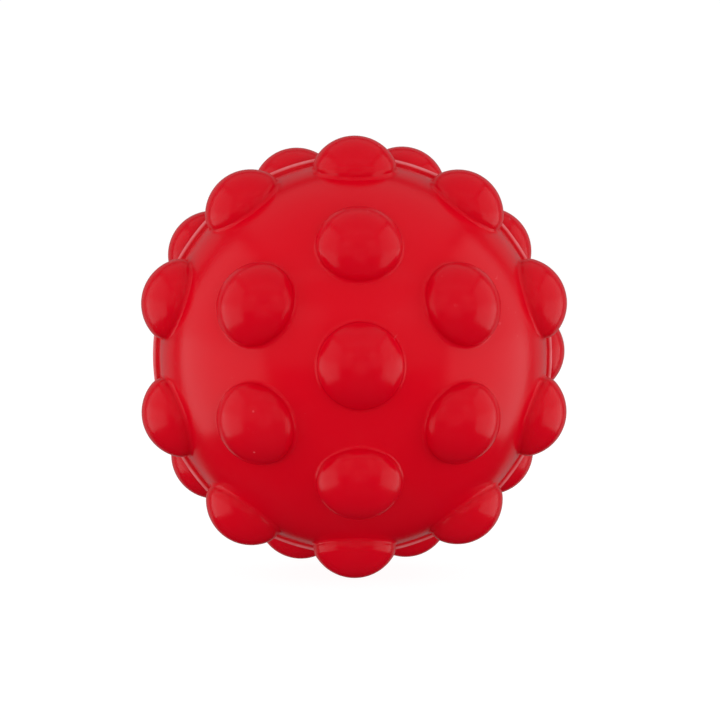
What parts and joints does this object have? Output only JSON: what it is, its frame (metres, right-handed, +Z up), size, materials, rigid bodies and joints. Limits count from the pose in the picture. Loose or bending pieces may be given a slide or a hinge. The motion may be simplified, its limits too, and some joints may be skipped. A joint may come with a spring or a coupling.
{
  "type": "massage ball",
  "caption": "Hollow silicone massage ball of two plug-together half shells, with round domes all over that press inwards and pop back out.",
  "frame": {"origin": "centre of the ball, on the seam plane", "axes": "Y is the polar axis, with the front half's pole at -Y and the rear half's at +Y; +Z is up, through a dome of the front outer ring; +X is to the right as seen from the front"},
  "size_m": [0.0727, 0.076, 0.0742],
  "materials": {
    "front_shell_silicone": "satin silicone, smooth, faint dust",
    "rear_shell_silicone": "satin silicone, smooth, faint dust",
    "dome_silicone": "satin silicone, smooth, slightly glossier crown"
  },
  "bodies": {
    "front_half": {"front_shell": "front_shell_silicone"},
    "rear_half": {"rear_shell": "rear_shell_silicone"},
    "front_dome_pole": {"front_dome_pole": "dome_silicone"},
    "front_dome_inner_01": {"front_dome_inner_01": "dome_silicone"},
    "front_dome_inner_02": {"front_dome_inner_02": "dome_silicone"},
    "front_dome_inner_03": {"front_dome_inner_03": "dome_silicone"},
    "front_dome_inner_04": {"front_dome_inner_04": "dome_silicone"},
    "front_dome_inner_05": {"front_dome_inner_05": "dome_silicone"},
    "front_dome_inner_06": {"front_dome_inner_06": "dome_silicone"},
    "front_dome_outer_01": {"front_dome_outer_01": "dome_silicone"},
    "front_dome_outer_02": {"front_dome_outer_02": "dome_silicone"},
    "front_dome_outer_03": {"front_dome_outer_03": "dome_silicone"},
    "front_dome_outer_04": {"front_dome_outer_04": "dome_silicone"},
    "front_dome_outer_05": {"front_dome_outer_05": "dome_silicone"},
    "front_dome_outer_06": {"front_dome_outer_06": "dome_silicone"},
    "front_dome_outer_07": {"front_dome_outer_07": "dome_silicone"},
    "front_dome_outer_08": {"front_dome_outer_08": "dome_silicone"},
    "front_dome_outer_09": {"front_dome_outer_09": "dome_silicone"},
    "front_dome_outer_10": {"front_dome_outer_10": "dome_silicone"},
    "rear_dome_pole": {"rear_dome_pole": "dome_silicone"},
    "rear_dome_inner_01": {"rear_dome_inner_01": "dome_silicone"},
    "rear_dome_inner_02": {"rear_dome_inner_02": "dome_silicone"},
    "rear_dome_inner_03": {"rear_dome_inner_03": "dome_silicone"},
    "rear_dome_inner_04": {"rear_dome_inner_04": "dome_silicone"},
    "rear_dome_inner_05": {"rear_dome_inner_05": "dome_silicone"},
    "rear_dome_inner_06": {"rear_dome_inner_06": "dome_silicone"},
    "rear_dome_outer_01": {"rear_dome_outer_01": "dome_silicone"},
    "rear_dome_outer_02": {"rear_dome_outer_02": "dome_silicone"},
    "rear_dome_outer_03": {"rear_dome_outer_03": "dome_silicone"},
    "rear_dome_outer_04": {"rear_dome_outer_04": "dome_silicone"},
    "rear_dome_outer_05": {"rear_dome_outer_05": "dome_silicone"},
    "rear_dome_outer_06": {"rear_dome_outer_06": "dome_silicone"},
    "rear_dome_outer_07": {"rear_dome_outer_07": "dome_silicone"},
    "rear_dome_outer_08": {"rear_dome_outer_08": "dome_silicone"},
    "rear_dome_outer_09": {"rear_dome_outer_09": "dome_silicone"},
    "rear_dome_outer_10": {"rear_dome_outer_10": "dome_silicone"}
  },
  "joints": [
    {"name": "pull_halves_apart", "type": "slide", "parent": "front_half", "child": "rear_half", "axis": [0, 1, 0], "range_m": [0, 0.02]},
    {"name": "press_front_dome_pole", "type": "slide", "parent": "front_half", "child": "front_dome_pole", "axis": [0, 1, 0], "range_m": [0, 0.01]},
    {"name": "press_front_dome_inner_01", "type": "slide", "parent": "front_half", "child": "front_dome_inner_01", "axis": [0, 0.8151, -0.5793], "range_m": [0, 0.01]},
    {"name": "press_front_dome_inner_02", "type": "slide", "parent": "front_half", "child": "front_dome_inner_02", "axis": [-0.5017, 0.8151, -0.2896], "range_m": [0, 0.01]},
    {"name": "press_front_dome_inner_03", "type": "slide", "parent": "front_half", "child": "front_dome_inner_03", "axis": [-0.5017, 0.8151, 0.2896], "range_m": [0, 0.01]},
    {"name": "press_front_dome_inner_04", "type": "slide", "parent": "front_half", "child": "front_dome_inner_04", "axis": [0, 0.8151, 0.5793], "range_m": [0, 0.01]},
    {"name": "press_front_dome_inner_05", "type": "slide", "parent": "front_half", "child": "front_dome_inner_05", "axis": [0.5017, 0.8151, 0.2896], "range_m": [0, 0.01]},
    {"name": "press_front_dome_inner_06", "type": "slide", "parent": "front_half", "child": "front_dome_inner_06", "axis": [0.5017, 0.8151, -0.2896], "range_m": [0, 0.01]},
    {"name": "press_front_dome_outer_01", "type": "slide", "parent": "front_half", "child": "front_dome_outer_01", "axis": [0, 0.2462, -0.9692], "range_m": [0, 0.01]},
    {"name": "press_front_dome_outer_02", "type": "slide", "parent": "front_half", "child": "front_dome_outer_02", "axis": [-0.5697, 0.2462, -0.7841], "range_m": [0, 0.01]},
    {"name": "press_front_dome_outer_03", "type": "slide", "parent": "front_half", "child": "front_dome_outer_03", "axis": [-0.9218, 0.2462, -0.2995], "range_m": [0, 0.01]},
    {"name": "press_front_dome_outer_04", "type": "slide", "parent": "front_half", "child": "front_dome_outer_04", "axis": [-0.9218, 0.2462, 0.2995], "range_m": [0, 0.01]},
    {"name": "press_front_dome_outer_05", "type": "slide", "parent": "front_half", "child": "front_dome_outer_05", "axis": [-0.5697, 0.2462, 0.7841], "range_m": [0, 0.01]},
    {"name": "press_front_dome_outer_06", "type": "slide", "parent": "front_half", "child": "front_dome_outer_06", "axis": [0, 0.2462, 0.9692], "range_m": [0, 0.01]},
    {"name": "press_front_dome_outer_07", "type": "slide", "parent": "front_half", "child": "front_dome_outer_07", "axis": [0.5697, 0.2462, 0.7841], "range_m": [0, 0.01]},
    {"name": "press_front_dome_outer_08", "type": "slide", "parent": "front_half", "child": "front_dome_outer_08", "axis": [0.9218, 0.2462, 0.2995], "range_m": [0, 0.01]},
    {"name": "press_front_dome_outer_09", "type": "slide", "parent": "front_half", "child": "front_dome_outer_09", "axis": [0.9218, 0.2462, -0.2995], "range_m": [0, 0.01]},
    {"name": "press_front_dome_outer_10", "type": "slide", "parent": "front_half", "child": "front_dome_outer_10", "axis": [0.5697, 0.2462, -0.7841], "range_m": [0, 0.01]},
    {"name": "press_rear_dome_pole", "type": "slide", "parent": "rear_half", "child": "rear_dome_pole", "axis": [0, -1, 0], "range_m": [0, 0.01]},
    {"name": "press_rear_dome_inner_01", "type": "slide", "parent": "rear_half", "child": "rear_dome_inner_01", "axis": [0.1857, -0.8151, -0.5487], "range_m": [0, 0.01]},
    {"name": "press_rear_dome_inner_02", "type": "slide", "parent": "rear_half", "child": "rear_dome_inner_02", "axis": [0.5681, -0.8151, -0.1135], "range_m": [0, 0.01]},
    {"name": "press_rear_dome_inner_03", "type": "slide", "parent": "rear_half", "child": "rear_dome_inner_03", "axis": [0.3823, -0.8151, 0.4352], "range_m": [0, 0.01]},
    {"name": "press_rear_dome_inner_04", "type": "slide", "parent": "rear_half", "child": "rear_dome_inner_04", "axis": [-0.1857, -0.8151, 0.5487], "range_m": [0, 0.01]},
    {"name": "press_rear_dome_inner_05", "type": "slide", "parent": "rear_half", "child": "rear_dome_inner_05", "axis": [-0.5681, -0.8151, 0.1135], "range_m": [0, 0.01]},
    {"name": "press_rear_dome_inner_06", "type": "slide", "parent": "rear_half", "child": "rear_dome_inner_06", "axis": [-0.3823, -0.8151, -0.4352], "range_m": [0, 0.01]},
    {"name": "press_rear_dome_outer_01", "type": "slide", "parent": "rear_half", "child": "rear_dome_outer_01", "axis": [0.3107, -0.2462, -0.9181], "range_m": [0, 0.01]},
    {"name": "press_rear_dome_outer_02", "type": "slide", "parent": "rear_half", "child": "rear_dome_outer_02", "axis": [0.791, -0.2462, -0.5601], "range_m": [0, 0.01]},
    {"name": "press_rear_dome_outer_03", "type": "slide", "parent": "rear_half", "child": "rear_dome_outer_03", "axis": [0.9692, -0.2462, 0.0118], "range_m": [-0.01, 0]},
    {"name": "press_rear_dome_outer_04", "type": "slide", "parent": "rear_half", "child": "rear_dome_outer_04", "axis": [0.7771, -0.2462, 0.5792], "range_m": [0, 0.01]},
    {"name": "press_rear_dome_outer_05", "type": "slide", "parent": "rear_half", "child": "rear_dome_outer_05", "axis": [0.2882, -0.2462, 0.9254], "range_m": [0, 0.01]},
    {"name": "press_rear_dome_outer_06", "type": "slide", "parent": "rear_half", "child": "rear_dome_outer_06", "axis": [-0.3107, -0.2462, 0.9181], "range_m": [0, 0.01]},
    {"name": "press_rear_dome_outer_07", "type": "slide", "parent": "rear_half", "child": "rear_dome_outer_07", "axis": [-0.791, -0.2462, 0.5601], "range_m": [0, 0.01]},
    {"name": "press_rear_dome_outer_08", "type": "slide", "parent": "rear_half", "child": "rear_dome_outer_08", "axis": [-0.9692, -0.2462, -0.0118], "range_m": [0, 0.01]},
    {"name": "press_rear_dome_outer_09", "type": "slide", "parent": "rear_half", "child": "rear_dome_outer_09", "axis": [-0.7771, -0.2462, -0.5792], "range_m": [0, 0.01]},
    {"name": "press_rear_dome_outer_10", "type": "slide", "parent": "rear_half", "child": "rear_dome_outer_10", "axis": [-0.2882, -0.2462, -0.9254], "range_m": [0, 0.01]}
  ]
}
